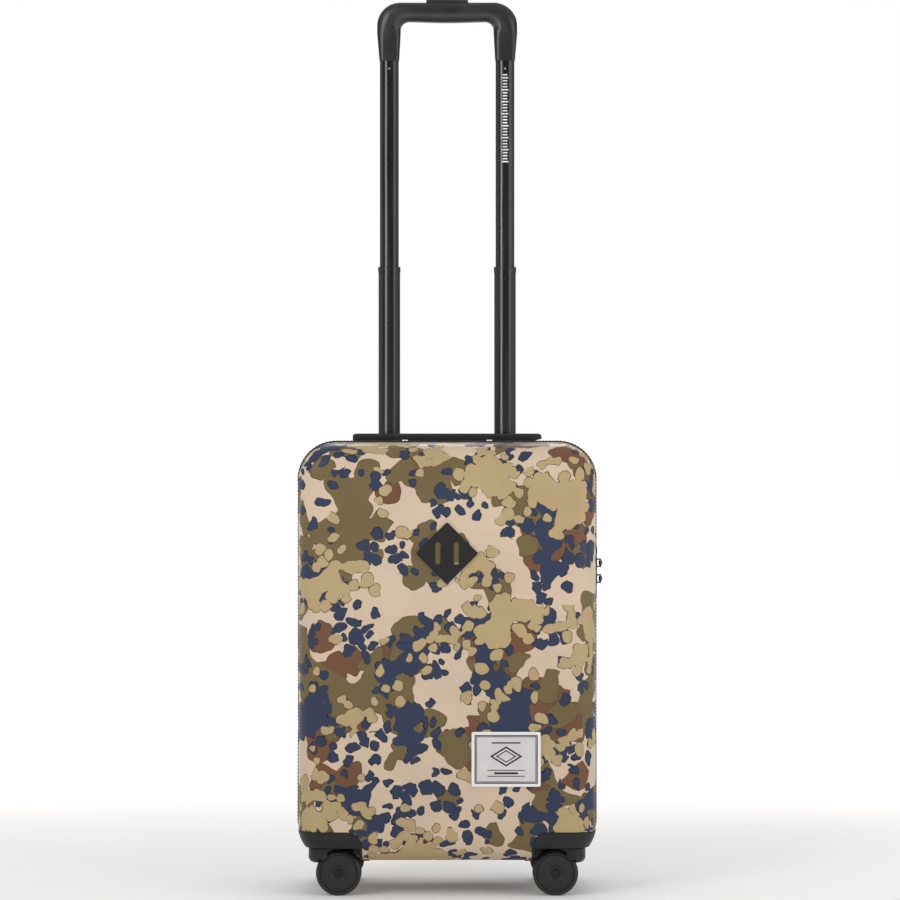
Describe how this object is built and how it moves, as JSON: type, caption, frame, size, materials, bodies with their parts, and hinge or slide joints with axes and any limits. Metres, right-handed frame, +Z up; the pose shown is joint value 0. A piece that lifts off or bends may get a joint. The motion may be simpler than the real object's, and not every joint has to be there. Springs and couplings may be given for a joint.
{
  "type": "spinner suitcase",
  "caption": "Hard-shell zip-around cabin suitcase with camouflage print, telescopic trolley handle, carry handle, combination lock and twin-wheel spinner casters.",
  "frame": {"origin": "on the floor under the middle of the case's width and depth", "axes": "+X to the viewer's right across the case, +Y from the front face to the back, +Z up along the trolley handle"},
  "size_m": [0.3697, 0.227, 1.0865],
  "materials": {
    "printed_shell": "satin, fine grain, printed camouflage",
    "zip_fabric": "woven polyester",
    "zip_nylon": "nylon coil",
    "zip_metal": "satin black enamel",
    "lock_plastic": "fine grain",
    "lock_dial": "fine grain, notched",
    "bright_steel": "turned",
    "carry_handle_rubber": "soft-touch",
    "black_plastic": "moulded, fine grain",
    "black_tube": "black anodised",
    "grip_plastic": "satin",
    "tab_rubber": "matte",
    "label_metal": "satin",
    "lining_fabric": "woven polyester",
    "divider_fabric": "mesh",
    "webbing": "woven webbing",
    "black_rivet": "satin black",
    "wheel_polyurethane": "satin polyurethane"
  },
  "bodies": {
    "case": {"rear_shell": "printed_shell", "rear_zip_tape": "zip_fabric", "rear_zip_coil": "zip_nylon", "hinge_gusset": "zip_fabric", "lock_housing": "lock_plastic", "trolley_bezel": "black_plastic", "trolley_outer_tubes": "black_tube", "trolley_base": "black_plastic", "carry_handle_mounts": "black_plastic", "rear_lining": "lining_fabric", "packing_straps": "webbing", "wheel_housing_rear_left": "black_plastic", "wheel_housing_rear_right": "black_plastic", "housing_rivets_rear": "black_rivet"},
    "lid": {"front_shell": "printed_shell", "front_zip_tape": "zip_fabric", "front_zip_coil": "zip_nylon", "lash_tab": "tab_rubber", "label_plate": "label_metal", "front_lining": "lining_fabric", "divider_panel": "divider_fabric", "wheel_housing_front_left": "black_plastic", "wheel_housing_front_right": "black_plastic", "housing_rivets_front": "black_rivet"},
    "carry_grip": {"carry_handle": "carry_handle_rubber"},
    "handle_lower": {"trolley_mid_tubes": "black_tube", "trolley_collars": "black_plastic"},
    "handle_upper": {"trolley_inner_tubes": "black_tube", "trolley_grip": "grip_plastic"},
    "grip_button": {"trolley_button": "grip_plastic", "trolley_release_rods": "bright_steel"},
    "zip_upper": {"zip_slider_upper": "zip_metal"},
    "zip_lower": {"zip_slider_lower": "zip_metal"},
    "pull_upper": {"zip_pull_upper": "zip_metal"},
    "pull_lower": {"zip_pull_lower": "zip_metal"},
    "lock_release": {"lock_button": "lock_plastic"},
    "dial_1": {"lock_dial_1": "lock_dial"},
    "dial_2": {"lock_dial_2": "lock_dial"},
    "dial_3": {"lock_dial_3": "lock_dial"},
    "key_plug": {"lock_key_cylinder": "bright_steel"},
    "caster_front_left": {"caster_fork_front_left": "black_plastic", "kingpin_front_left": "bright_steel", "axle_front_left": "bright_steel"},
    "wheel_outer_front_left": {"wheel_outer_front_left": "wheel_polyurethane"},
    "wheel_inner_front_left": {"wheel_inner_front_left": "wheel_polyurethane"},
    "caster_front_right": {"caster_fork_front_right": "black_plastic", "kingpin_front_right": "bright_steel", "axle_front_right": "bright_steel"},
    "wheel_outer_front_right": {"wheel_outer_front_right": "wheel_polyurethane"},
    "wheel_inner_front_right": {"wheel_inner_front_right": "wheel_polyurethane"},
    "caster_rear_left": {"caster_fork_rear_left": "black_plastic", "kingpin_rear_left": "bright_steel", "axle_rear_left": "bright_steel"},
    "wheel_outer_rear_left": {"wheel_outer_rear_left": "wheel_polyurethane"},
    "wheel_inner_rear_left": {"wheel_inner_rear_left": "wheel_polyurethane"},
    "caster_rear_right": {"caster_fork_rear_right": "black_plastic", "kingpin_rear_right": "bright_steel", "axle_rear_right": "bright_steel"},
    "wheel_outer_rear_right": {"wheel_outer_rear_right": "wheel_polyurethane"},
    "wheel_inner_rear_right": {"wheel_inner_rear_right": "wheel_polyurethane"}
  },
  "joints": [
    {"name": "lid_open", "type": "hinge", "parent": "case", "child": "lid", "pos_m": [-0.1965, 0, 0.29], "axis": [0, 0, -1], "range_deg": [0, 179]},
    {"name": "carry_handle_lift", "type": "slide", "parent": "case", "child": "carry_grip", "axis": [0, 0, 1], "range_m": [0, 0.018], "stiffness_N_per_m": 120},
    {"name": "handle_lower_stage", "type": "slide", "parent": "case", "child": "handle_lower", "axis": [0, 0, 1], "range_m": [-0.2785, 0]},
    {"name": "handle_upper_stage", "type": "slide", "parent": "handle_lower", "child": "handle_upper", "axis": [0, 0, 1], "range_m": [-0.2535, 0]},
    {"name": "grip_button_press", "type": "slide", "parent": "handle_upper", "child": "grip_button", "axis": [0, 0, -1], "range_m": [0, 0.003], "stiffness_N_per_m": 1500, "springref_m": -0.001},
    {"name": "zip_slide_upper", "type": "slide", "parent": "case", "child": "zip_upper", "axis": [0, 0, 1], "range_m": [0, 0.09]},
    {"name": "pull_upper_lift", "type": "hinge", "parent": "zip_upper", "child": "pull_upper", "pos_m": [0.1862, 0, 0.393], "axis": [0, 0, -1], "range_deg": [0, 110]},
    {"name": "zip_slide_lower", "type": "slide", "parent": "case", "child": "zip_lower", "axis": [0, 0, -1], "range_m": [0, 0.275]},
    {"name": "pull_lower_lift", "type": "hinge", "parent": "zip_lower", "child": "pull_lower", "pos_m": [0.1862, 0, 0.374], "axis": [0, 0, -1], "range_deg": [0, 110]},
    {"name": "lock_release_slide", "type": "slide", "parent": "case", "child": "lock_release", "axis": [0, 0, -1], "range_m": [0, 0.004], "stiffness_N_per_m": 400},
    {"name": "lock_dial_1_turn", "type": "hinge", "parent": "case", "child": "dial_1", "pos_m": [0.1777, 0.036, 0.3745], "axis": [0, 0, 1], "continuous": true},
    {"name": "lock_dial_2_turn", "type": "hinge", "parent": "case", "child": "dial_2", "pos_m": [0.1777, 0.036, 0.3835], "axis": [0, 0, 1], "continuous": true},
    {"name": "lock_dial_3_turn", "type": "hinge", "parent": "case", "child": "dial_3", "pos_m": [0.1777, 0.036, 0.3925], "axis": [0, 0, 1], "continuous": true},
    {"name": "lock_key_turn", "type": "hinge", "parent": "case", "child": "key_plug", "pos_m": [0.179, 0.036, 0.3595], "axis": [1, 0, 0], "range_deg": [0, 90]},
    {"name": "spinner_front_left", "type": "hinge", "parent": "lid", "child": "caster_front_left", "pos_m": [-0.1475, -0.0835, 0.05], "axis": [0, 0, 1], "continuous": true},
    {"name": "wheel_outer_front_left_spin", "type": "hinge", "parent": "caster_front_left", "child": "wheel_outer_front_left", "pos_m": [-0.129, -0.0925, 0.027], "axis": [0, 1, 0], "continuous": true},
    {"name": "wheel_inner_front_left_spin", "type": "hinge", "parent": "caster_front_left", "child": "wheel_inner_front_left", "pos_m": [-0.129, -0.0745, 0.027], "axis": [0, 1, 0], "continuous": true},
    {"name": "spinner_front_right", "type": "hinge", "parent": "lid", "child": "caster_front_right", "pos_m": [0.1475, -0.0835, 0.05], "axis": [0, 0, 1], "continuous": true},
    {"name": "wheel_outer_front_right_spin", "type": "hinge", "parent": "caster_front_right", "child": "wheel_outer_front_right", "pos_m": [0.129, -0.0925, 0.027], "axis": [0, 1, 0], "continuous": true},
    {"name": "wheel_inner_front_right_spin", "type": "hinge", "parent": "caster_front_right", "child": "wheel_inner_front_right", "pos_m": [0.129, -0.0745, 0.027], "axis": [0, 1, 0], "continuous": true},
    {"name": "spinner_rear_left", "type": "hinge", "parent": "case", "child": "caster_rear_left", "pos_m": [-0.1475, 0.0835, 0.05], "axis": [0, 0, 1], "continuous": true},
    {"name": "wheel_outer_rear_left_spin", "type": "hinge", "parent": "caster_rear_left", "child": "wheel_outer_rear_left", "pos_m": [-0.129, 0.0925, 0.027], "axis": [0, 1, 0], "continuous": true},
    {"name": "wheel_inner_rear_left_spin", "type": "hinge", "parent": "caster_rear_left", "child": "wheel_inner_rear_left", "pos_m": [-0.129, 0.0745, 0.027], "axis": [0, 1, 0], "continuous": true},
    {"name": "spinner_rear_right", "type": "hinge", "parent": "case", "child": "caster_rear_right", "pos_m": [0.1475, 0.0835, 0.05], "axis": [0, 0, 1], "continuous": true},
    {"name": "wheel_outer_rear_right_spin", "type": "hinge", "parent": "caster_rear_right", "child": "wheel_outer_rear_right", "pos_m": [0.129, 0.0925, 0.027], "axis": [0, 1, 0], "continuous": true},
    {"name": "wheel_inner_rear_right_spin", "type": "hinge", "parent": "caster_rear_right", "child": "wheel_inner_rear_right", "pos_m": [0.129, 0.0745, 0.027], "axis": [0, 1, 0], "continuous": true}
  ]
}
